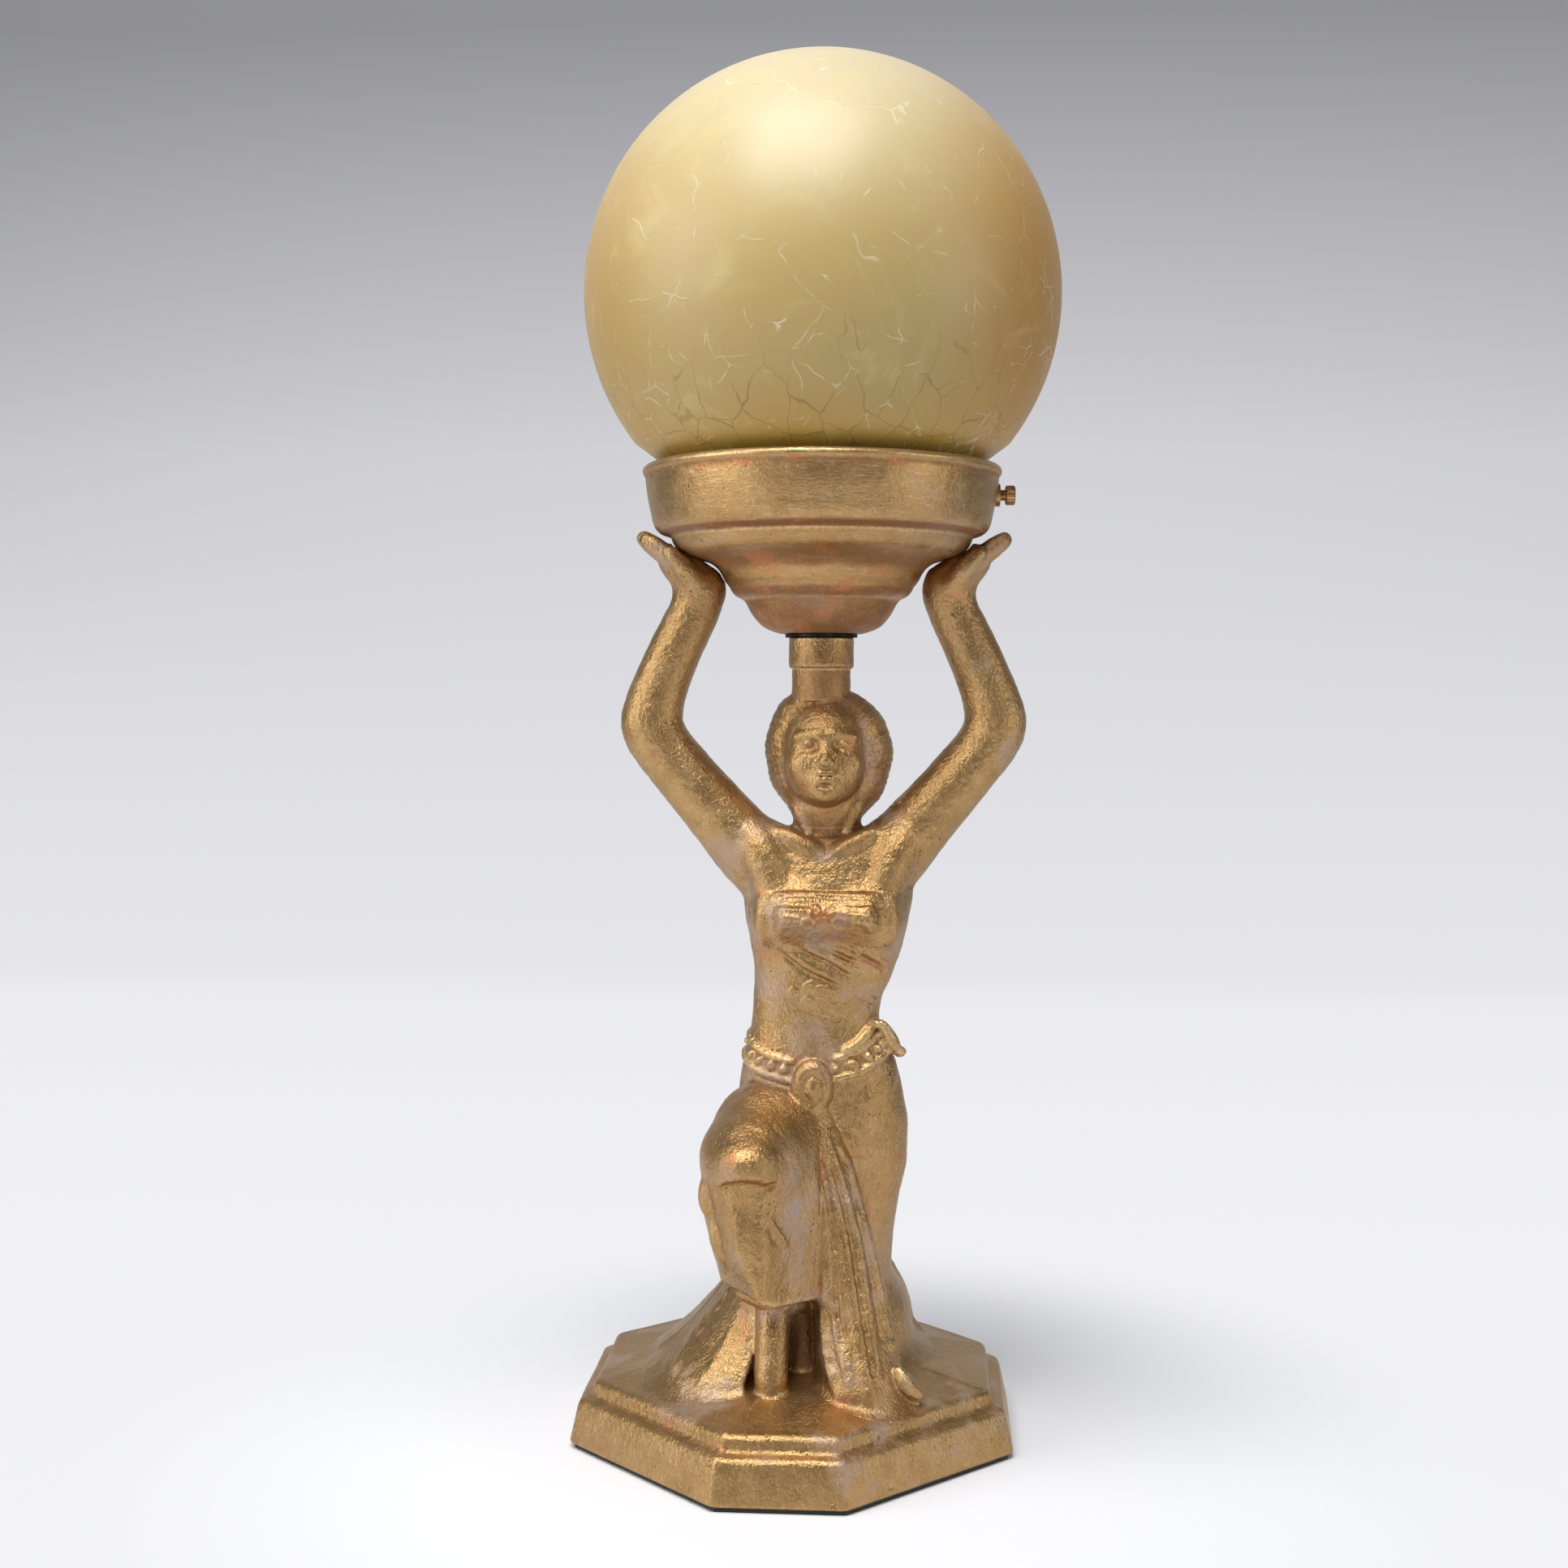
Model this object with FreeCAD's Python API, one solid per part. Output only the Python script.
"""A figural table lamp: a kneeling draped woman, cast in spelter in soldered sections, holds a
spun gallery over her head. The gallery carries a crackle glass globe, held by one thumb screw
that pushes it against two fixed pips.
A threaded tube clamps plinth, figure, gallery and lampholder together.

Millimetres, +Z up. The origin is on the resting plane, under the axis of the threaded tube.
The plinth is square to the axes, and the figure faces -Y, turned by figure_turn about +Z.
"""

import math
import os

import FreeCAD
import Part

V = FreeCAD.Vector
X_AXIS = V(1, 0, 0)
Y_AXIS = V(0, 1, 0)
Z_AXIS = V(0, 0, 1)
ORIGIN = V(0, 0, 0)

# ---------------------------------------------------------------- driving dimensions
# Felt and plinth
felt_thickness = 1.5
felt_inset = 1.2
plinth_half_width = 69.3
plinth_front_y = -68.7
plinth_depth = 155.0
plinth_flat = 39.3  # length of the front and back flats
plinth_centre_x = -8.0
plinth_shoulder_z = 14.4
plinth_shoulder_inset = 2.4
plinth_edge_z = 15.6
plinth_edge_inset = 4.0
plinth_tread_z = 16.4
plinth_tread_inset = 6.4
plinth_riser_z = 19.4
plinth_riser_inset = 7.4
plinth_top_edge_z = 20.6
plinth_top_edge_inset = 9.0
plinth_dome_z = 24.2
plinth_dome_inset = 26.0
plinth_crown_z = 26.4
plinth_crown_inset = 42.0
plinth_wall = 4.2
plinth_ceiling_z = 16.0
plinth_ceiling_inset = 14.0
nut_boss_radius = 13.0
nut_boss_drop = 3.0

# Threaded tube and its hardware
tube_radius = 5.0
tube_bore_radius = 3.6
tube_clearance = 0.35
tube_low_z = 5.0
hex_across_flats = 17.0
hex_height = 3.5
washer_radius = 11.0
washer_thickness = 1.2
thread_clearance = 0.03
hardware_clearance = 0.3  # round the tube, in washers and the gallery's floor

# Cord inlet bush in the back face of the plinth
bush_bore_radius = 3.5
bush_body_radius = 5.0
bush_flange_radius = 6.2
bush_flange_thickness = 1.8
bush_flange_sunk = 0.4
bush_seat_gap = 0.5
bush_passage_gap = 0.05
bush_wall = 5.7  # wall left between flange and nut
bush_inner_reach = 4.0
bush_landing_margin = 3.0
bush_nut_room = 9.0
bush_nut_thickness = 2.2
bush_centre_z = 8.3

# Figure: where it stands and how it turns
figure_turn = 3.4
waist_z = 134.0
belt_width = 4.6
belt_rise = 1.1
buckle_x = -3.2
buckle_z = 115.2
buckle_half_width = 6.4
buckle_half_height = 9.2
belt_angles = {-1: 25.0, 1: 31.0}  # how steeply the belt climbs from the buckle to each side
bandeau_low_z = 163.8
bandeau_high_z = 175.6
bandeau_rise = 0.9
palm_gap = 0.15
seat_washer_radius = 11.5
seat_washer_thickness = 1.1
collar_top_z = 256.4
collar_wide_radius = 10.2
collar_wide_height = 9.4
collar_narrow_radius = 9.4
collar_narrow_height = 9.0

# Gallery, the spun dish that holds the globe
gallery_thickness = 1.0
gallery_floor_z = collar_top_z + seat_washer_thickness
gallery_floor_radius = 13.0
gallery_bowl_radius = 25.2
gallery_bowl_top_z = gallery_floor_z + 10.8
gallery_bowl_bulge = 2.4
gallery_bowl_dip = 0.5
gallery_bead_radius = 28.4
gallery_bead_z = gallery_floor_z + 13.2
gallery_neck_radius = 30.4
gallery_neck_z = gallery_floor_z + 16.2
gallery_sweep_radius = 37.6
gallery_sweep_z = gallery_floor_z + 23.0
gallery_sweep_hollow = 0.8
gallery_sweep_lift = 0.6
gallery_flank_hollow = 1.6
gallery_flank_rise = 3.6
gallery_ledge_width = 5.6  # from the foot of the wall in to the ledge's edge
gallery_ledge_z = gallery_floor_z + 30.6
gallery_lip_room = 3.6  # between the globe's lip and the foot of the wall
gallery_wall_low_z = gallery_floor_z + 34.6
gallery_heel = 3.4  # how far in from the wall the ledge starts to turn up
gallery_rim_flare = 2.3
gallery_wall_top_z = gallery_floor_z + 50.0
rim_curl_radius = 1.6
rim_curl_inset = 0.7
rim_curl_rise = 0.9

# Globe and its fitter neck
globe_radius = 75.0
globe_centre_z = 363.6
globe_wall = 2.6
globe_shoulder_z = 322.0
globe_taper_out = 5.0  # from the neck out to the middle of the taper
globe_taper_z = 313.4
neck_radius = 48.6
neck_top_z = 306.6
lip_width = 1.4
lip_height = 4.0
lip_gap = 0.3
lip_bevel = 1.2
shade_lift = 120.0

# Thumb screw, its boss and the two fixed pips
pip_angle = 120.0  # from the screw to each pip
pip_radius = 2.6
screw_radius = 1.7
screw_head_radius = 3.1
screw_head_length = 3.0
screw_neck_length = 1.8
screw_boss_radius = 3.6
screw_boss_length = 1.4
screw_axis_drop = 6.8  # below the rim's centre
screw_tip_gap = 0.4  # between tip and lip at rest
screw_knurls = 18
screw_knurl_depth = 0.22
screw_head_chamfer = 0.35

# Lampholder
holder_neck_radius = 8.0
holder_neck_height = 6.0
holder_cap_radius = 19.0
holder_cap_height = 13.0
holder_wall = 0.9
holder_shell_height = 24.0
holder_core_gap = 0.4
holder_core_height = 7.0
holder_ledge_width = 1.6
holder_spigot_height = 3.0
terminal_offset = 10.5
terminal_radius = 1.5
sleeve_radius = 14.6
sleeve_wall = 0.7
sleeve_height = 21.0
thread_pitch = 3.6
thread_depth = 0.8
thread_turns = 3
thread_lead_in = 1.0
contact_height = 2.2

# Bulb
bulb_radius = 27.5
bulb_wall = 0.8
bulb_length = 96.0
bulb_cap_gap = 0.8  # between the bulb's cap and the holder's sleeve
bulb_cap_height = 19.0
bulb_cap_wall = 0.6
bulb_tip_height = 5.0
bulb_tip_gap = 0.15
bulb_throat_depth = 4.0

os.makedirs("parts", exist_ok=True)


# ---------------------------------------------------------------- helpers
def save(name, shape):
    """Writes one sub-part, cleaned, as parts/NAME.step, and says what it is."""
    solids = shape.Solids
    out = solids[0] if len(solids) == 1 else Part.makeCompound(solids)
    good = all(s.isValid() and s.Volume > 0 for s in solids)
    print(f"{name:24s} solids {len(solids)} valid {good} volume {sum(s.Volume for s in solids):10.1f}")
    out.exportStep(f"parts/{name}.step")


def turned(shape):
    """The figure's own frame turned into the lamp's frame."""
    done = shape.copy()
    done.rotate(ORIGIN, Z_AXIS, figure_turn)
    return done


def revolve(edges):
    """A solid of revolution about Z from edges in the XZ plane that close on themselves."""
    return Part.Face(Part.Wire(edges)).revolve(ORIGIN, Z_AXIS, 360)


def line(a, b):
    return Part.LineSegment(V(a[0], 0, a[1]), V(b[0], 0, b[1])).toShape()


def arc(a, mid, b):
    return Part.Arc(V(a[0], 0, a[1]), V(mid[0], 0, mid[1]), V(b[0], 0, b[1])).toShape()


def turning(*points):
    """A solid of revolution whose half section is the polygon of (radius, z) points."""
    return revolve([line(a, b) for a, b in zip(points, points[1:] + points[:1])])


def rod(radius, low, high, centre=ORIGIN, axis=Z_AXIS):
    """A cylinder between two distances along an axis through centre."""
    return Part.makeCylinder(radius, high - low, centre + axis * low, axis)


def ring(outer, inner, low, high, centre=ORIGIN, axis=Z_AXIS):
    return rod(outer, low, high, centre, axis).cut(rod(inner, low - 1, high + 1, centre, axis))


def hex_nut(across_flats, low, high, bore):
    radius = across_flats / math.sqrt(3)
    turns = [k * math.pi / 3 for k in range(7)]
    corners = [V(radius * math.cos(turn), radius * math.sin(turn), low) for turn in turns]
    body = Part.Face(Part.makePolygon(corners)).extrude(V(0, 0, high - low))
    return body.cut(rod(bore, low - 1, high + 1))


def octagon(inset, z):
    """The plinth's outline at height z, every side moved in by inset."""
    half_x = plinth_half_width - inset
    cut = plinth_half_width - plinth_flat / 2
    corner = cut - inset * (2 - math.sqrt(2))
    front = plinth_front_y + inset
    back = plinth_front_y + plinth_depth - inset
    west = plinth_centre_x - half_x
    east = plinth_centre_x + half_x
    points = [
        (west + corner, front),
        (east - corner, front),
        (east, front + corner),
        (east, back - corner),
        (east - corner, back),
        (west + corner, back),
        (west, back - corner),
        (west, front + corner),
    ]
    return Part.makePolygon([V(x, y, z) for x, y in points + points[:1]])


def octagon_stack(levels):
    """A solid of flat-sided tiers through octagons given as (inset, z)."""
    return Part.makeLoft([octagon(inset, z) for inset, z in levels], True, True)


def oval(centre, right, up, half_width, upper, lower, count=12):
    """A smooth closed section: half_width along right, and its two half heights along up."""
    points = []
    for k in range(count):
        angle = 2 * math.pi * k / count
        rise = math.sin(angle)
        height = upper if rise >= 0 else lower
        points.append(centre + right * (half_width * math.cos(angle)) + up * (height * rise))
    curve = Part.BSplineCurve()
    curve.interpolate(Points=points, PeriodicFlag=True)
    return Part.Wire(curve.toShape())


def level_loft(sections):
    """A body through level ovals: (z, west x, east x, front y, back y) each."""
    wires = []
    for z, west, east, front, back in sections:
        middle_y = (front + back) / 2
        centre = V((west + east) / 2, middle_y, z)
        wires.append(oval(centre, X_AXIS, Y_AXIS, (east - west) / 2, back - middle_y, middle_y - front))
    return Part.makeLoft(wires, True, False)


def limb(stations, wide_axis):
    """A limb through (centre, half thickness along wide_axis, half thickness across) stations.

    Each section is square to the line that the limb follows there.
    """
    wires = []
    last = len(stations) - 1
    for k, (centre, wide, thin) in enumerate(stations):
        along = (stations[min(k + 1, last)][0] - stations[max(k - 1, 0)][0]).normalize()
        across = along.cross(wide_axis).normalize()
        broad = across.cross(along).normalize()
        wires.append(oval(centre, across, broad, thin, wide, wide))
    return Part.makeLoft(wires, True, False)


def round_limb(stations, wide_axis):
    """A limb with round sections through (x, y, z, radius) stations."""
    return limb([(V(x, y, z), radius, radius) for x, y, z, radius in stations], wide_axis)


# ---------------------------------------------------------------- plinth, felt and cord inlet
def plinth_levels():
    return [
        (0.0, felt_thickness),
        (plinth_shoulder_inset, plinth_shoulder_z),
        (plinth_edge_inset, plinth_edge_z),
        (plinth_tread_inset, plinth_tread_z),
        (plinth_riser_inset, plinth_riser_z),
        (plinth_top_edge_inset, plinth_top_edge_z),
        (plinth_dome_inset, plinth_dome_z),
        (plinth_crown_inset, plinth_crown_z),
    ]


plinth_back_y = plinth_front_y + plinth_depth
plinth_outside = octagon_stack(plinth_levels())


def draft_at(z):
    """How far the plinth's lower face has moved in at height z."""
    return plinth_shoulder_inset * (z - felt_thickness) / (plinth_shoulder_z - felt_thickness)


bush_outer_y = plinth_back_y - draft_at(bush_centre_z) - bush_flange_sunk
bush_inner_y = bush_outer_y - bush_wall
bush_axis_point = V(plinth_centre_x, 0, bush_centre_z)


def make_plinth():
    cavity = octagon_stack([
        (plinth_wall, felt_thickness - 1),
        (plinth_wall + plinth_shoulder_inset, plinth_shoulder_z - plinth_wall),
        (plinth_ceiling_inset, plinth_ceiling_z),
    ])
    boss = rod(nut_boss_radius, plinth_ceiling_z - nut_boss_drop, plinth_ceiling_z + 1)
    body = plinth_outside.cut(cavity).fuse(boss)
    body = body.cut(rod(tube_radius + tube_clearance, 0, plinth_crown_z + 5))
    landing = Part.makeBox(
        2 * (bush_flange_radius + bush_landing_margin),
        bush_wall,
        plinth_ceiling_z - felt_thickness,
        V(plinth_centre_x - bush_flange_radius - bush_landing_margin, bush_inner_y, felt_thickness),
    )
    body = body.fuse(landing.common(plinth_outside)).removeSplitter()
    seat = rod(bush_flange_radius + bush_seat_gap, bush_outer_y, plinth_back_y + 1, bush_axis_point, Y_AXIS)
    room_y = bush_inner_y - bush_nut_room
    passage = rod(bush_body_radius + bush_passage_gap, room_y, plinth_back_y + 1, bush_axis_point, Y_AXIS)
    nut_room = rod(bush_flange_radius + bush_seat_gap, room_y, bush_inner_y, bush_axis_point, Y_AXIS)
    return body.cut(seat).cut(passage).cut(nut_room)


def make_bush():
    high = bush_outer_y + bush_flange_thickness
    low = bush_inner_y - bush_inner_reach
    flange = rod(bush_flange_radius, bush_outer_y, high, bush_axis_point, Y_AXIS)
    body = rod(bush_body_radius, low, bush_outer_y + 0.1, bush_axis_point, Y_AXIS)
    bore = rod(bush_bore_radius, low - 1, high + 1, bush_axis_point, Y_AXIS)
    return flange.fuse(body).removeSplitter().cut(bore)


def make_bush_nut():
    return ring(bush_flange_radius, bush_body_radius + thread_clearance, bush_inner_y - bush_nut_thickness,
                bush_inner_y, bush_axis_point, Y_AXIS)


def make_felt():
    return octagon_stack([(felt_inset, 0.0), (felt_inset, felt_thickness)])


# ---------------------------------------------------------------- threaded tube and clamping hardware
tube_high_z = gallery_floor_z + gallery_thickness + hex_height + holder_neck_height
nut_boss_z = plinth_ceiling_z - nut_boss_drop


def make_hardware():
    """The tube, the nut and washer under the plinth, the seat washer and the lock nut."""
    bore = tube_radius + hardware_clearance
    thread = tube_radius + thread_clearance
    plinth_nut_top_z = nut_boss_z - washer_thickness
    gallery_nut_z = gallery_floor_z + gallery_thickness
    return {
        "threaded_tube": ring(tube_radius, tube_bore_radius, tube_low_z, tube_high_z),
        "plinth_washer": ring(washer_radius, bore, plinth_nut_top_z, nut_boss_z),
        "plinth_nut": hex_nut(hex_across_flats, plinth_nut_top_z - hex_height, plinth_nut_top_z, thread),
        "seat_washer": ring(seat_washer_radius, bore, collar_top_z, gallery_floor_z),
        "gallery_nut": hex_nut(hex_across_flats, gallery_nut_z, gallery_nut_z + hex_height, thread),
    }


# ---------------------------------------------------------------- gallery, screws and globe
lip_radius = neck_radius + lip_width
globe_taper_radius = neck_radius + globe_taper_out
gallery_wall_radius = lip_radius + gallery_lip_room
gallery_ledge_radius = gallery_wall_radius - gallery_ledge_width


def gallery_skin(back_off):
    """The gallery's half section from axis to rim, moved back_off into the dish."""
    t = back_off
    lean = 0.75 * t  # a slanting wall moves partly in and partly up
    rise = 0.4 * t
    bead_rise = 0.6 * t
    return [
        line((0, gallery_floor_z + t), (gallery_floor_radius, gallery_floor_z + t)),
        arc((gallery_floor_radius, gallery_floor_z + t),
            ((gallery_floor_radius + gallery_bowl_radius) / 2 + gallery_bowl_bulge - lean,
             (gallery_floor_z + gallery_bowl_top_z) / 2 - gallery_bowl_dip + lean),
            (gallery_bowl_radius - t, gallery_bowl_top_z + rise)),
        line((gallery_bowl_radius - t, gallery_bowl_top_z + rise),
             (gallery_bead_radius - t, gallery_bead_z + bead_rise)),
        line((gallery_bead_radius - t, gallery_bead_z + bead_rise),
             (gallery_neck_radius - t, gallery_neck_z + rise)),
        arc((gallery_neck_radius - t, gallery_neck_z + rise),
            ((gallery_neck_radius + gallery_sweep_radius) / 2 - gallery_sweep_hollow - lean,
             (gallery_neck_z + gallery_sweep_z) / 2 + gallery_sweep_lift + lean),
            (gallery_sweep_radius - lean, gallery_sweep_z + lean)),
        arc((gallery_sweep_radius - lean, gallery_sweep_z + lean),
            (gallery_ledge_radius - gallery_flank_hollow - lean, gallery_sweep_z + gallery_flank_rise + lean),
            (gallery_ledge_radius - t, gallery_ledge_z + t)),
        line((gallery_ledge_radius - t, gallery_ledge_z + t),
             (gallery_wall_radius - gallery_heel - t, gallery_ledge_z + t)),
        arc((gallery_wall_radius - gallery_heel - t, gallery_ledge_z + t),
            (gallery_wall_radius - 1.0 - t, gallery_ledge_z + 1.2 + t),
            (gallery_wall_radius - t, gallery_wall_low_z)),
        line((gallery_wall_radius - t, gallery_wall_low_z),
             (gallery_wall_radius + gallery_rim_flare - t, gallery_wall_top_z)),
    ]


def dish(back_off):
    """The solid inside a gallery skin, closed across the rim."""
    top = (gallery_wall_radius + gallery_rim_flare - back_off, gallery_wall_top_z)
    middle = (0, gallery_wall_top_z)
    edges = gallery_skin(back_off)
    edges += [line(top, middle), line(middle, (0, gallery_floor_z + back_off))]
    return revolve(edges)


rim_centre_radius = gallery_wall_radius + gallery_rim_flare - rim_curl_inset
rim_centre_z = gallery_wall_top_z + rim_curl_rise
screw_axis_z = rim_centre_z - screw_axis_drop
screw_wall_radius = gallery_wall_radius + gallery_rim_flare * (screw_axis_z - gallery_wall_low_z) / (
    gallery_wall_top_z - gallery_wall_low_z)
screw_tip_radius = lip_radius + screw_tip_gap
screw_head_start = screw_wall_radius + screw_boss_length + screw_neck_length
screw_hole_radius = screw_radius + thread_clearance


def around(shape, angle):
    done = shape.copy()
    done.rotate(ORIGIN, Z_AXIS, angle)
    return done


def make_gallery():
    shell = dish(0).cut(dish(gallery_thickness))
    curl = Part.makeTorus(rim_centre_radius, rim_curl_radius, V(0, 0, rim_centre_z))
    body = shell.fuse(curl).removeSplitter()
    body = body.cut(rod(tube_radius + hardware_clearance, gallery_floor_z - 1, gallery_floor_z + 3))
    axis_point = V(0, 0, screw_axis_z)
    hole = rod(screw_hole_radius, gallery_wall_radius - 6, gallery_wall_radius + 6, axis_point, X_AXIS)
    return body.cut(around(hole, figure_turn))


def make_screw_boss():
    low, high = screw_wall_radius - 3, screw_wall_radius + screw_boss_length
    boss = ring(screw_boss_radius, screw_hole_radius, low, high, V(0, 0, screw_axis_z), X_AXIS)
    return boss.cut(dish(0))


def make_pips():
    """Two round studs inside the wall, opposite the screw, that bear on the globe's neck."""
    stud = rod(pip_radius, screw_tip_radius, gallery_wall_radius + 3, V(0, 0, screw_axis_z), X_AXIS)
    stud = stud.common(dish(gallery_thickness))
    return Part.makeCompound([around(stud, figure_turn + side * pip_angle) for side in (-1, 1)])


def make_screw():
    """The thumb screw on +X: shank, neck and a knurled head."""
    axis_point = V(0, 0, screw_axis_z)
    head_end = screw_head_start + screw_head_length
    shank = rod(screw_radius, screw_tip_radius, head_end - 1, axis_point, X_AXIS)
    head = rod(screw_head_radius, screw_head_start, head_end, axis_point, X_AXIS)
    rims = [edge for edge in head.Edges if edge.Curve.TypeId == "Part::GeomCircle"]
    head = head.makeChamfer(screw_head_chamfer, rims)
    groove = rod(screw_knurl_depth, screw_head_start - 1, head_end + 1,
                 V(0, 0, screw_axis_z + screw_head_radius), X_AXIS)
    grooves = []
    for k in range(screw_knurls):
        cutter = groove.copy()
        cutter.rotate(axis_point, X_AXIS, 360 * k / screw_knurls)
        grooves.append(cutter)
    return head.cut(Part.makeCompound(grooves)).fuse(shank).removeSplitter()


glass_low_z = gallery_ledge_z + gallery_thickness + lip_gap


def globe_skin(back_off, low_z):
    """Half section of the globe from its neck to its top, moved in by back_off."""
    radius = globe_radius - back_off
    shoulder_angle = math.asin((globe_shoulder_z - globe_centre_z) / globe_radius)

    def on_globe(angle):
        return (radius * math.cos(angle), globe_centre_z + radius * math.sin(angle))

    shoulder = on_globe(shoulder_angle)
    taper = (globe_taper_radius - back_off, globe_taper_z + 0.2 * back_off)
    neck = (neck_radius - back_off, neck_top_z)
    top = (0, globe_centre_z + radius)
    return [
        line((neck_radius - back_off, low_z), neck),
        arc(neck, taper, shoulder),
        arc(shoulder, (radius, globe_centre_z), on_globe(1.0)),
        arc(on_globe(1.0), on_globe(1.3), top),
        line(top, (0, low_z)),
        line((0, low_z), (neck_radius - back_off, low_z)),
    ]


def make_globe():
    outer = revolve(globe_skin(0, glass_low_z))
    lip = turning(
        (neck_radius - 1, glass_low_z),
        (lip_radius - lip_bevel, glass_low_z),
        (lip_radius, glass_low_z + lip_bevel),
        (lip_radius, glass_low_z + lip_height - lip_bevel),
        (neck_radius - 0.4, glass_low_z + lip_height),
        (neck_radius - 1, glass_low_z + lip_height),
    )
    return outer.fuse(lip).removeSplitter().cut(revolve(globe_skin(globe_wall, glass_low_z - 1)))


# ---------------------------------------------------------------- lampholder
# The insulating core sits on a ledge in the cap, and the shell's inner flange holds it down.
holder_low_z = gallery_floor_z + gallery_thickness + hex_height
cap_low_z = holder_low_z + holder_neck_height
cap_high_z = cap_low_z + holder_cap_height
core_radius = holder_cap_radius - holder_wall - holder_core_gap
core_low_z = cap_high_z - holder_core_height + 2.0
core_high_z = core_low_z + holder_core_height
sleeve_high_z = core_high_z + sleeve_height
shell_high_z = cap_high_z + holder_shell_height
bulb_cap_radius = sleeve_radius - sleeve_wall - bulb_cap_gap
bulb_low_z = core_high_z + contact_height + bulb_tip_gap
bulb_cap_low_z = bulb_low_z + bulb_tip_height
thread_low_z = bulb_cap_low_z + thread_lead_in


def wavy_tube(radius, wall, low, high):
    """A pressed screw tube: thin, with thread_turns round rings, thread_depth deep."""
    outer = [(radius, low)]
    for k in range(thread_turns):
        base = thread_low_z + k * thread_pitch
        outer += [(radius, base), (radius - thread_depth, base + thread_pitch / 2)]
    outer += [(radius, thread_low_z + thread_turns * thread_pitch), (radius, high)]
    inner = [(r - wall, z) for r, z in outer]
    return turning(*outer, *inner[::-1])


def make_holder_cap():
    bore = tube_radius + thread_clearance
    inner = holder_cap_radius - holder_wall
    ledge = core_radius - holder_ledge_width
    return turning(
        (bore, holder_low_z),
        (holder_neck_radius, holder_low_z),
        (holder_neck_radius, cap_low_z - 1.0),
        (holder_cap_radius - 4.0, cap_low_z + 2.0),
        (holder_cap_radius, cap_low_z + 6.0),
        (holder_cap_radius, cap_high_z),
        (inner, cap_high_z),
        (inner, core_low_z),
        (ledge, core_low_z),
        (ledge, core_low_z - 1.2),
        (holder_cap_radius - 5.0, cap_low_z + 3.4),
        (bore, cap_low_z + 0.6),
    )


def make_holder_shell():
    """The outer shell, with a spigot inside the cap and a flange on the core."""
    inner = holder_cap_radius - holder_wall
    spigot = inner - thread_clearance
    return turning(
        (core_radius + thread_clearance, cap_high_z - holder_spigot_height),
        (spigot, cap_high_z - holder_spigot_height),
        (spigot, cap_high_z),
        (holder_cap_radius, cap_high_z),
        (holder_cap_radius, shell_high_z - 1.2),
        (holder_cap_radius + 1.2, shell_high_z - 0.6),
        (holder_cap_radius + 1.2, shell_high_z),
        (inner, shell_high_z),
        (inner, core_high_z + holder_wall),
        (core_radius - holder_ledge_width, core_high_z + holder_wall),
        (core_radius - holder_ledge_width, core_high_z),
        (core_radius + thread_clearance, core_high_z),
    )


def make_lampholder():
    core = ring(core_radius, tube_bore_radius, core_low_z, core_high_z)
    screws = []
    for side in (-1, 1):
        centre = V(side * terminal_offset, 0, 0)
        core = core.cut(rod(terminal_radius + thread_clearance, core_low_z - 1, core_low_z + 3, centre))
        shank = rod(terminal_radius, core_low_z - 1.5, core_low_z + 2.8, centre)
        head = rod(1.8 * terminal_radius, core_low_z - 1.7, core_low_z - 0.1, centre)
        screws.append(shank.fuse(head).removeSplitter())
    strip = Part.makeBox(12, 5, 0.5, V(-6, -2.5, core_high_z))
    spring = Part.makeBox(5.4, 5, contact_height, V(-2.7, -2.5, core_high_z))
    return {
        "holder_cap": make_holder_cap(),
        "holder_core": core,
        "holder_terminal_screws": Part.makeCompound(screws),
        "holder_shell": make_holder_shell(),
        "holder_screw_sleeve": wavy_tube(sleeve_radius, sleeve_wall, core_high_z, sleeve_high_z),
        "holder_contact": strip.fuse(spring).removeSplitter(),
    }


# ---------------------------------------------------------------- bulb
bulb_cap_high_z = bulb_cap_low_z + bulb_cap_height
bulb_centre_z = bulb_low_z + bulb_length - bulb_radius
throat_low_z = bulb_cap_high_z - bulb_throat_depth


def on_bulb(radius, angle):
    return (radius * math.cos(angle), bulb_centre_z + radius * math.sin(angle))


def bulb_envelope(back_off):
    """The solid inside the bulb's skin, from its throat in the cap to its crown."""
    t = back_off
    throat = bulb_cap_radius - bulb_cap_wall - 0.4 - t
    mouth = (throat, bulb_cap_high_z + 3.0)
    flank = on_bulb(bulb_radius - t, -0.45)
    middle = ((mouth[0] + flank[0]) / 2 - 1.2, (mouth[1] + flank[1]) / 2)
    crown = (0, bulb_centre_z + bulb_radius - t)
    return revolve([
        line((0, throat_low_z + t), (throat, throat_low_z + t)),
        line((throat, throat_low_z + t), mouth),
        arc(mouth, middle, flank),
        arc(flank, on_bulb(bulb_radius - t, 0.6), crown),
        line(crown, (0, throat_low_z + t)),
    ])


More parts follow.
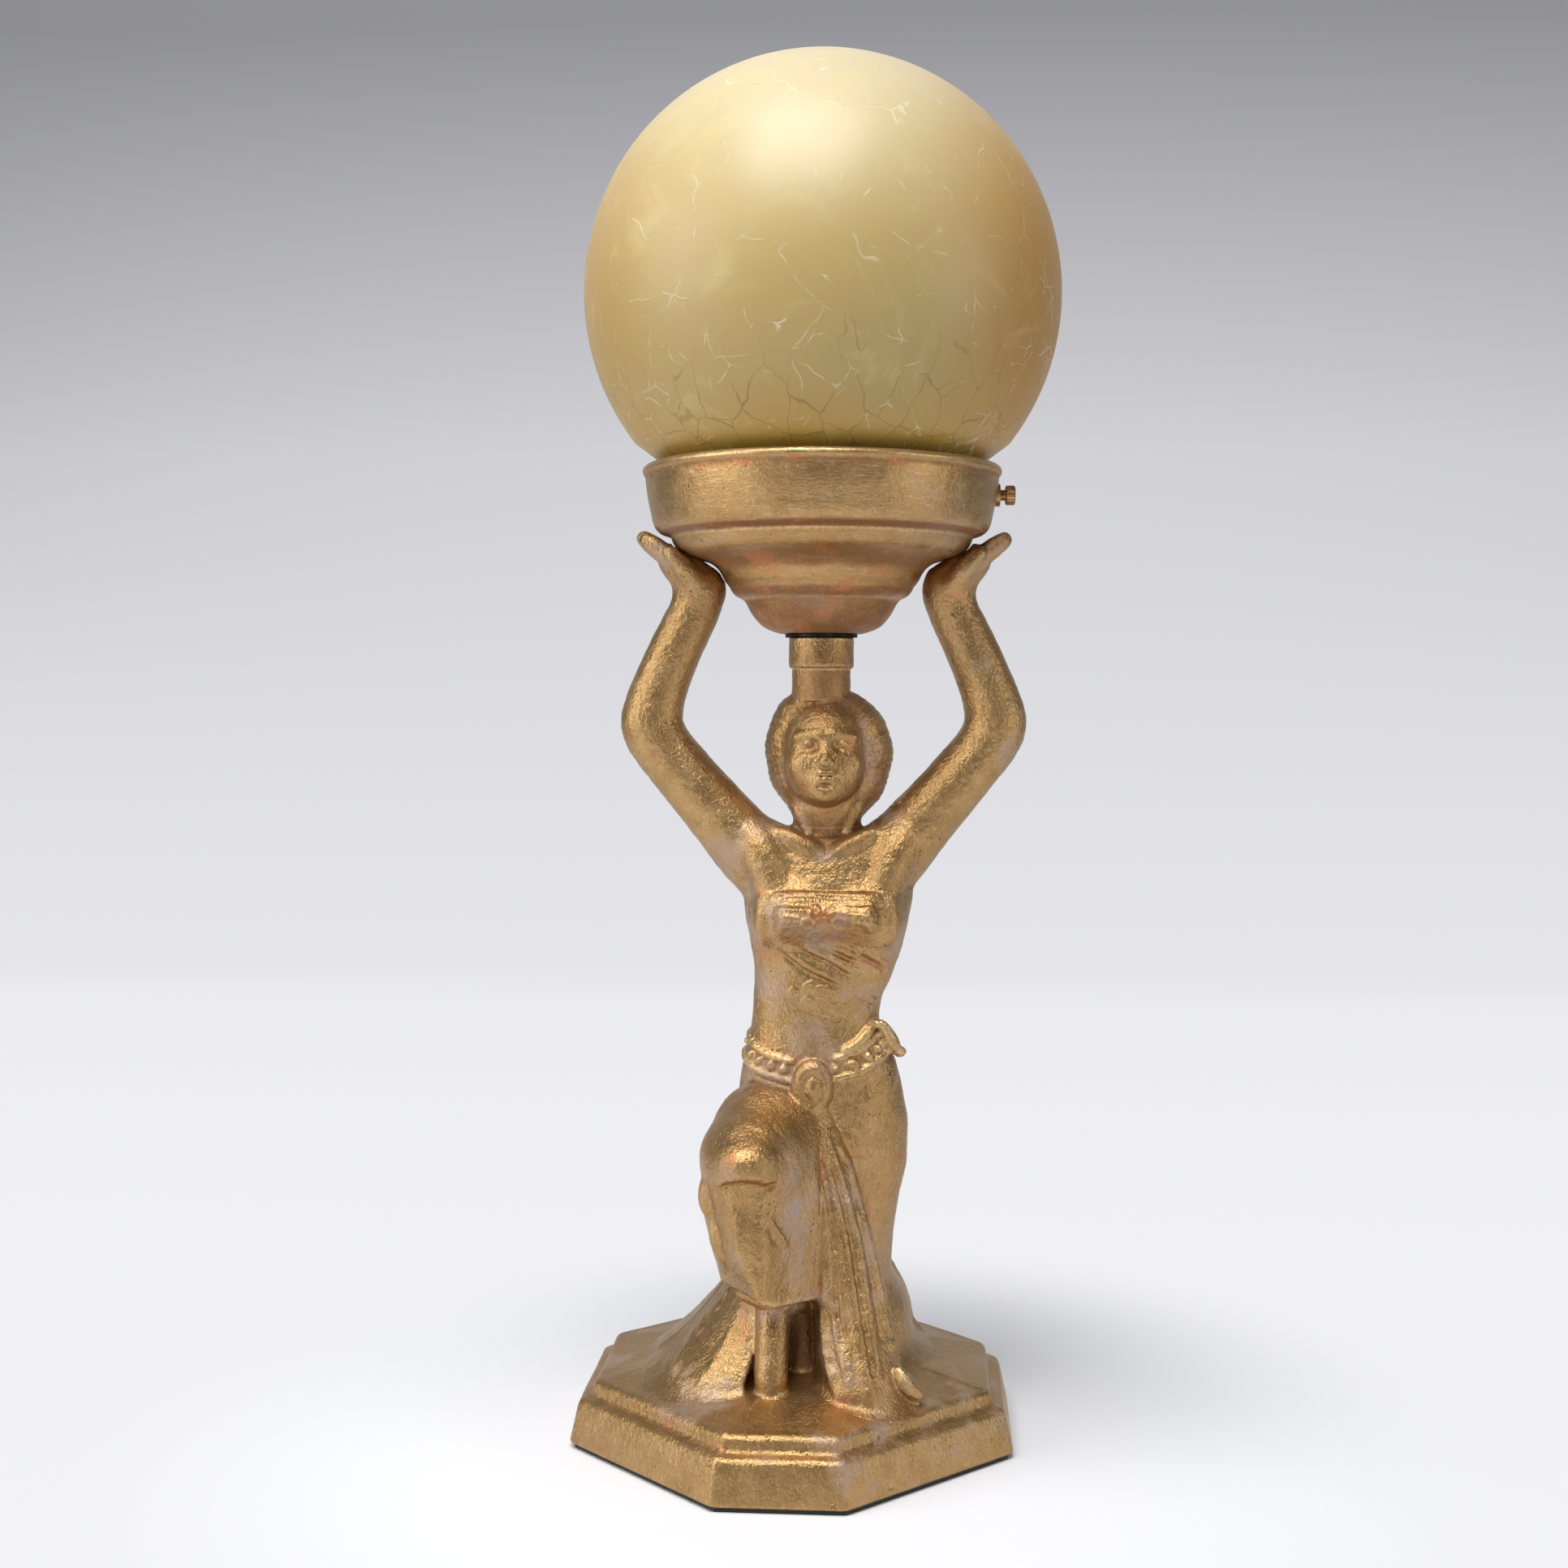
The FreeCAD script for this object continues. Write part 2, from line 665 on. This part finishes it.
def make_filament_mount():
    """The glass stem, two support wires and the filament's bow."""
    low = throat_low_z + bulb_wall
    high = bulb_centre_z - 14
    filament_z = bulb_centre_z + 2
    reach = 11
    stem = turning((0, low), (6.5, low), (3.0, low + 12), (2.4, high), (0, high))
    wires = []
    for side in (-1, 1):
        foot = V(side * 1.2, 0, high - 4)
        path = V(side * reach, 0, filament_z) - foot
        wires.append(Part.makeCylinder(0.3, path.Length, foot, path))
    bow = Part.Arc(V(-reach, 0, filament_z), V(0, 0, filament_z + 4), V(reach, 0, filament_z)).toShape()
    start = Part.Circle(V(-reach, 0, filament_z), bow.tangentAt(bow.FirstParameter), 0.4)
    coil = Part.Wire(bow).makePipeShell([Part.Wire(start.toShape())], True, False)
    return stem.fuse(wires + [coil]).removeSplitter()


def make_bulb():
    cap_inner = bulb_cap_radius - bulb_cap_wall
    rim_z = bulb_low_z + 1.6
    insulator = turning(
        (0, rim_z),
        (4.6, rim_z),
        (cap_inner - 1.0, bulb_cap_low_z),
        (cap_inner, bulb_cap_low_z),
        (cap_inner, thread_low_z),
        (0, thread_low_z),
    )
    return {
        "bulb_glass": bulb_envelope(0).cut(bulb_envelope(bulb_wall)),
        "bulb_cap": wavy_tube(bulb_cap_radius, bulb_cap_wall, bulb_cap_low_z, bulb_cap_high_z),
        "bulb_insulator": insulator,
        "bulb_tip": turning((0, bulb_low_z), (2.4, bulb_low_z), (4.2, rim_z), (0, rim_z)),
        "bulb_mount": make_filament_mount(),
    }


# ---------------------------------------------------------------- figure, in its own frame
# Each oval of a body is (z, west x, east x, front y, back y).
TORSO = [
    (waist_z, -21.9, 19.2, -13.6, 13.2),
    (138.0, -21.6, 18.8, -13.5, 13.0),
    (149.0, -20.8, 22.6, -15.0, 13.5),
    (160.0, -22.4, 26.4, -17.5, 14.0),
    (167.0, -23.8, 28.0, -18.5, 14.5),
    (175.0, -24.6, 29.0, -16.5, 14.5),
    (184.0, -24.0, 28.0, -13.0, 13.5),
    (191.0, -20.0, 23.0, -10.5, 12.0),
    (196.0, -12.0, 15.5, -8.0, 9.5),
]
TORSO_CAVITY = [
    (waist_z, -17.6, 15.0, -9.8, 9.4),
    (138.0, -17.0, 14.5, -9.5, 9.0),
    (160.0, -18.0, 21.5, -13.0, 10.0),
    (178.0, -17.0, 21.0, -10.0, 9.5),
]
HIPS = [
    (22.0, -28.0, 39.0, -21.0, 49.0),
    (32.0, -25.0, 30.4, -20.0, 43.0),
    (46.0, -22.0, 25.2, -18.0, 34.0),
    (66.0, -22.6, 24.2, -15.6, 25.5),
    (78.0, -24.0, 26.0, -15.2, 23.0),
    (90.0, -25.4, 28.2, -15.4, 21.0),
    (101.0, -26.2, 28.4, -15.8, 20.0),
    (110.0, -26.0, 27.0, -15.8, 18.6),
    (121.0, -24.4, 24.2, -15.0, 16.2),
    (129.0, -22.4, 21.0, -14.2, 14.2),
    (waist_z, -21.9, 19.2, -13.6, 13.2),
]
HIPS_CAVITY = [
    (20.0, -21.0, 26.0, -18.0, 44.0),
    (48.0, -16.0, 19.0, -12.0, 30.0),
    (78.0, -18.0, 21.0, -10.0, 18.0),
    (106.0, -19.0, 21.0, -11.0, 14.0),
    (121.0, -19.6, 18.6, -11.0, 12.0),
    (waist_z, -17.6, 15.0, -9.8, 9.4),
]
NECK = [
    (184.0, -4.0, 7.0, -7.0, 6.0),
    (188.0, -7.0, 10.5, -8.5, 8.0),
    (194.0, -8.6, 12.6, -9.0, 9.5),
    (201.0, -8.8, 12.8, -9.5, 11.5),
    (208.0, -10.0, 14.5, -10.0, 14.0),
]
HAIR = [
    (199.0, -8.0, 13.0, -3.0, 13.0),
    (205.0, -13.0, 18.5, -8.0, 16.5),
    (213.0, -16.8, 22.0, -10.5, 19.0),
    (221.0, -17.8, 23.2, -12.0, 20.0),
    (229.0, -16.0, 20.8, -12.5, 18.5),
    (235.0, -13.2, 16.4, -11.0, 15.0),
    (238.6, -9.6, 10.6, -9.0, 11.0),
]
FACE = [
    (204.8, -3.0, 4.4, -14.6, 0.0),
    (208.0, -7.2, 8.4, -17.0, 2.0),
    (213.0, -10.6, 11.6, -17.6, 4.0),
    (220.0, -12.6, 13.6, -18.0, 4.0),
    (227.0, -12.4, 13.4, -17.6, 4.0),
    (233.0, -9.0, 10.0, -14.6, 4.0),
]
# An arm from inside the shoulder to the wrist: (x, y, z, radius).
ARM = [
    (13.0, 1.8, 178.5, 9.2),
    (23.0, 1.8, 187.9, 9.8),
    (31.0, 1.5, 197.3, 9.0),
    (38.8, 1.2, 206.2, 8.4),
    (46.0, 1.0, 214.8, 8.0),
    (51.8, 1.0, 222.0, 7.8),
    (55.4, 1.0, 229.3, 7.7),
    (53.0, 1.0, 238.4, 7.2),
    (49.0, 0.9, 248.6, 7.0),
    (44.4, 0.7, 258.4, 6.5),
    (40.8, 0.4, 265.8, 6.1),
    (39.2, 0.2, 272.0, 6.2),
]
# A hand: (x, y, z, half depth, half thickness).
HAND = [
    (37.6, 0.0, 268.5, 6.0, 5.0),
    (40.4, 0.0, 273.2, 7.2, 6.2),
    (44.6, 0.0, 277.2, 8.0, 6.2),
    (49.6, 0.0, 280.8, 7.8, 5.4),
    (54.2, 0.0, 284.2, 6.6, 4.2),
    (57.4, 0.0, 286.6, 5.0, 3.0),
    (59.4, 0.0, 288.0, 3.0, 1.8),
]
arm_centre_x = 0.8
seam_x = 50.0
seam_z = 218.0


def arm_pieces(side, torso):
    """(upper arm, forearm with its hand) on one side: 1 is +X, -1 is -X."""
    arm = round_limb([(side * x + arm_centre_x, y, z, radius) for x, y, z, radius in ARM], Y_AXIS)
    hand = limb([(V(side * x + arm_centre_x, y, z), deep, thick) for x, y, z, deep, thick in HAND], Y_AXIS)
    # The solder seam crosses the arm just below the elbow, square to the upper arm.
    seam_point = V(side * seam_x + arm_centre_x, 0, seam_z)
    seam_normal = V(side * 1.0, 0, 1.0).normalize()
    beyond = Part.makeBox(200, 200, 100, V(-100, -100, 0))
    beyond.Placement = FreeCAD.Placement(seam_point, FreeCAD.Rotation(Z_AXIS, seam_normal))
    forearm = arm.common(beyond).fuse(hand).removeSplitter()
    return arm.cut(beyond).cut(torso), forearm


# The cloth that falls from the buckle: (z, west x, east x, front y, depth of its folds).
SWAG = [
    (112.0, -3.0, 4.0, -16.4, 0.4),
    (100.0, -4.4, 7.0, -18.4, 0.8),
    (80.0, -1.4, 12.8, -23.2, 1.2),
    (65.0, -0.2, 16.6, -27.2, 1.4),
    (50.0, -0.4, 21.0, -32.6, 1.8),
    (38.0, -0.2, 23.4, -37.4, 2.2),
    (30.0, 0.0, 25.4, -40.6, 2.4),
    (20.0, 0.4, 31.0, -44.5, 2.6),
]
swag_folds = 4
swag_round = 6.0  # how much further back its edges lie than its middle
swag_back_y = -7.0
# The bent leg from the hip to the knee: (x, y, z, half height, half width).
THIGH = [
    (-8.0, 8.0, 98.0, 16.6, 16.6),
    (-13.5, -6.0, 99.0, 16.0, 17.0),
    (-18.5, -18.0, 96.5, 15.0, 16.6),
    (-21.8, -28.0, 92.5, 13.6, 15.4),
    (-22.8, -37.0, 89.8, 10.4, 12.2),
    (-23.0, -43.4, 89.0, 6.2, 8.0),
    (-23.0, -46.4, 88.8, 2.4, 3.2),
]
SKIRT_LEVELS = [54.0, 62.0, 70.0, 80.0, 90.0, 98.0, 104.0]
# The skirt's flat sides: (direction in degrees from +X, distance from the Z axis at each level).
SKIRT_SIDES = [
    (180.0, [31.0, 32.8, 34.6, 36.6, 36.4, 35.6, 30.0]),
    (207.0, [36.8, 39.6, 42.5, 44.6, 45.2, 43.0, 38.0]),
    (260.0, [47.0, 47.5, 47.6, 47.8, 46.4, 40.0, 32.0]),
    (310.0, [22.9, 23.0, 22.8, 22.2, 20.4, 17.0, 13.0]),
    (360.0, [0.6, 0.7, 0.6, 0.4, -0.4, -1.8, -5.0]),
    (450.0, [4.0, 4.0, 4.0, 4.0, 4.0, 4.0, 4.0]),
]
FOOT = [
    (-14.4, -21.0, 57.0, 5.4),
    (-14.5, -27.6, 46.5, 5.1),
    (-14.7, -31.4, 37.5, 5.0),
    (-14.9, -33.8, 30.4, 4.9),
    (-15.0, -35.0, 23.0, 4.5),
]
TRAIN = [
    (18.0, -62.0, 2.0, -41.0, 48.0),
    (22.0, -57.0, 2.0, -37.6, 45.0),
    (28.0, -51.0, 2.0, -35.0, 42.0),
    (34.0, -44.0, 1.0, -31.6, 38.0),
    (42.0, -36.6, 0.0, -27.6, 32.0),
    (50.0, -30.4, 0.0, -25.0, 27.0),
    (60.0, -26.0, -2.0, -22.0, 22.0),
]
# The room left for the foot in front of the train: (z, west x).
FOOT_ROOM = [(16.0, -26.0), (26.0, -23.4), (34.0, -20.6), (42.0, -19.0), (62.0, -18.8)]
foot_room_east_x = 8.0
foot_room_back_y = -19.0
REAR_LEG = [
    (13.0, 2.0, 36.0, 14.0),
    (14.0, 22.0, 36.0, 13.0),
    (13.0, 42.0, 32.4, 10.6),
    (12.0, 58.0, 29.0, 7.6),
    (12.0, 67.5, 27.0, 4.6),
]
# Folds that hang down the back: (x, y, z, half thickness).
BACK_FOLDS = [
    [(-21.0, 9.0, 100.0, 1.6), (-20.6, 13.0, 82.0, 2.2), (-21.0, 18.0, 62.0, 2.6), (-26.0, 28.0, 42.0, 3.2),
     (-32.0, 38.0, 26.0, 2.6)],
    [(-3.0, 17.6, 108.0, 1.4), (-2.0, 21.4, 94.0, 2.0), (-1.0, 25.0, 76.0, 2.4), (0.0, 31.0, 54.0, 3.0),
     (-1.0, 42.0, 36.0, 3.6), (-2.0, 51.0, 24.0, 3.2)],
    [(19.0, 12.0, 106.0, 1.4), (21.4, 14.6, 90.0, 2.0), (21.0, 17.0, 70.0, 2.4), (22.6, 21.0, 50.0, 2.8),
     (30.0, 27.0, 32.0, 2.8), (34.0, 30.0, 22.0, 2.4)],
]


def swag():
    """The cloth that falls from the buckle to the front of the plinth, with its folds."""
    sections = []
    steps = swag_folds * 2
    for z, west, east, front, fold_depth in SWAG:
        points = []
        for k in range(steps + 1):
            share = k / steps
            groove = 0.0 if k % 2 else fold_depth
            sag = swag_round * (2 * share - 1) ** 2
            points.append(V(west + (east - west) * share, front + sag + groove, z))
        inset = (east - west) * 0.1
        points += [V(east - inset, swag_back_y, z), V(west + inset, swag_back_y, z)]
        curve = Part.BSplineCurve()
        curve.interpolate(Points=points, PeriodicFlag=True)
        sections.append(Part.Wire(curve.toShape()))
    return Part.makeLoft(sections, True, False)


def flat_sided(sides, levels):
    """A body between upright sides whose distances from the Z axis change from level to level."""
    wires = []
    for row, z in enumerate(levels):
        corners = []
        for k, (angle, distances) in enumerate(sides):
            next_angle, next_distances = sides[(k + 1) % len(sides)]
            a, b = math.radians(angle), math.radians(next_angle)
            turn = math.sin(b - a)
            x = (distances[row] * math.sin(b) - next_distances[row] * math.sin(a)) / turn
            y = (next_distances[row] * math.cos(a) - distances[row] * math.cos(b)) / turn
            corners.append(V(x, y, z))
        wires.append(Part.makePolygon(corners + corners[:1]))
    return Part.makeLoft(wires, True, True)


def raised_leg():
    """Thigh, bent knee, the skirt that hangs from it, and the slim foot under the hem."""
    thigh = limb([(V(x, y, z), high, wide) for x, y, z, high, wide in THIGH], Z_AXIS)
    return [thigh, flat_sided(SKIRT_SIDES, SKIRT_LEVELS), round_limb(FOOT, X_AXIS)]


def train():
    """The skirt's cloth spread over the plinth beside and behind the raised leg, open round the foot."""
    wires = []
    for z, west in FOOT_ROOM:
        corners = [V(west, -80, z), V(foot_room_east_x, -80, z), V(foot_room_east_x, foot_room_back_y, z),
                   V(west, foot_room_back_y, z)]
        wires.append(Part.makePolygon(corners + corners[:1]))
    return level_loft(TRAIN).cut(Part.makeLoft(wires, True, True))


def grown(sections, by):
    """The same ovals, larger all round by a rise."""
    return [(z, west - by, east + by, front - by, back + by) for z, west, east, front, back in sections]


def belt():
    """The low belt: a raised band that climbs from the buckle to both hips."""
    body = level_loft(grown(HIPS, belt_rise))
    bands = []
    for side, angle in belt_angles.items():
        band = Part.makeBox(40, 80, belt_width, V(0 if side > 0 else -40, -40, -belt_width / 2))
        band.rotate(ORIGIN, Y_AXIS, -side * angle)
        band.translate(V(buckle_x, 0, buckle_z))
        bands.append(band.common(body))
    return bands


def buckle():
    """The oval buckle: a frame round a raised centre."""
    front = -15.4

    def plate(half_width, half_height, proud):
        outline = oval(V(buckle_x, front, buckle_z), X_AXIS, Z_AXIS, half_width, half_height, half_height)
        return Part.Face(outline).extrude(V(0, -proud, 0))

    frame = plate(buckle_half_width, buckle_half_height, 2.6)
    frame = frame.cut(plate(buckle_half_width - 1.8, buckle_half_height - 2.4, 3.0))
    centre = plate(buckle_half_width - 2.8, buckle_half_height - 3.6, 2.2)
    return [frame, centre, plate(buckle_half_width, buckle_half_height, -5.0)]


def bandeau(torso):
    """The gathered band round the bust, standing a little proud of the torso."""
    height = bandeau_high_z - bandeau_low_z
    slab = Part.makeBox(120, 120, height, V(-60, -60, bandeau_low_z))
    return torso.fuse(level_loft(grown(TORSO, bandeau_rise)).common(slab)).removeSplitter()


def collar():
    """The stepped socket on the head that the tube passes through."""
    chamfer_z = collar_top_z - collar_wide_height
    low_z = chamfer_z - collar_narrow_height - 4
    return turning(
        (0, low_z),
        (collar_narrow_radius, low_z),
        (collar_narrow_radius, chamfer_z - 2.2),
        (collar_wide_radius, chamfer_z),
        (collar_wide_radius, collar_top_z - 0.8),
        (collar_wide_radius - 0.6, collar_top_z),
        (0, collar_top_z),
    )


def make_figure():
    bore = rod(tube_radius + tube_clearance, 10, collar_top_z + 1)
    torso = bandeau(level_loft(TORSO))
    neck = level_loft(NECK)
    head = neck.fuse([level_loft(HAIR), level_loft(FACE), collar()]).removeSplitter().cut(bore)
    back = [round_limb(REAR_LEG, Z_AXIS)] + [round_limb(fold, X_AXIS) for fold in BACK_FOLDS]
    lower = level_loft(HIPS).fuse(raised_leg() + [swag(), train()] + back + belt() + buckle())
    lower = lower.cut(level_loft(HIPS_CAVITY)).cut(bore)
    lower = lower.cut(around(plinth_outside, -figure_turn))
    above = Part.makeBox(200, 200, 40, V(-100, -100, waist_z))
    lower = lower.cut(above)
    pieces = {
        "figure_head": head,
        "figure_torso": torso.cut(neck).cut(level_loft(TORSO_CAVITY)).cut(bore),
        "figure_lower": lower,
    }
    gallery_room = dish(-palm_gap)
    for side, name in ((1, "left"), (-1, "right")):
        upper, forearm = arm_pieces(side, torso)
        pieces[f"{name}_upper_arm"] = upper.cut(neck)
        pieces[f"{name}_forearm"] = forearm.cut(gallery_room)
    return pieces


# ---------------------------------------------------------------- build
def biggest(shape):
    """The largest solid, without the crumbs that a cut can leave beside it."""
    return max(shape.Solids, key=lambda s: s.Volume)


def main():
    save("felt_pad", make_felt())
    save("plinth", make_plinth())
    save("cord_bush", make_bush())
    save("cord_bush_nut", make_bush_nut())
    for name, shape in make_hardware().items():
        save(name, shape)
    save("gallery", make_gallery())
    save("gallery_pips", make_pips())
    save("screw_boss", turned(make_screw_boss()))
    save("thumb_screw", turned(make_screw()))
    save("globe_shade", make_globe())
    for name, shape in {**make_lampholder(), **make_bulb()}.items():
        save(name, shape)
    for name, shape in make_figure().items():
        save(name, turned(biggest(shape)))


main()
